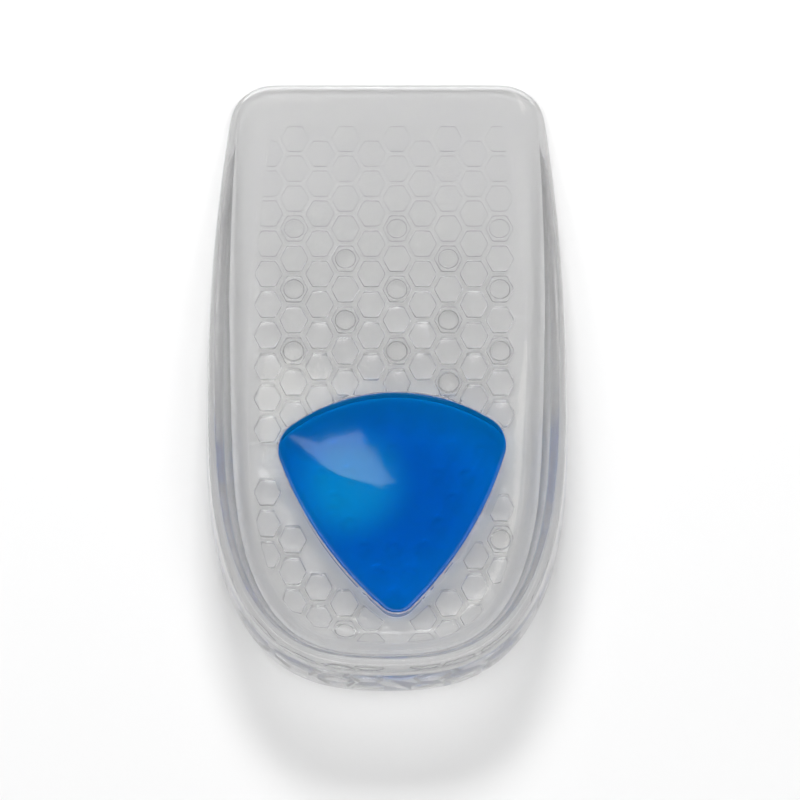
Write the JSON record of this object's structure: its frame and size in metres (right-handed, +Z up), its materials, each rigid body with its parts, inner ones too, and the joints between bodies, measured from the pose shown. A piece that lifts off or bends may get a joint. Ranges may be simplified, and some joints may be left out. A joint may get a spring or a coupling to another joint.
{
  "type": "gel heel cup insole",
  "caption": "Clear gel heel cup with a raised wall, a thin front edge, a honeycomb underside and a softer blue pad under the heel.",
  "frame": {"origin": "on the ground, in the middle of the cup's length and width", "axes": "+X across the foot, +Y towards the toes, +Z up; the heel's wall is at -Y"},
  "size_m": [0.065, 0.1144, 0.02],
  "materials": {
    "clear_gel": "clear silicone gel, smooth and slightly tacky",
    "blue_gel": "softer translucent blue silicone gel, glossy"
  },
  "bodies": {
    "root": {"cup_shell": "clear_gel", "heel_pad": "blue_gel", "honeycomb_tread": "clear_gel", "grip_pips": "clear_gel"}
  },
  "joints": []
}
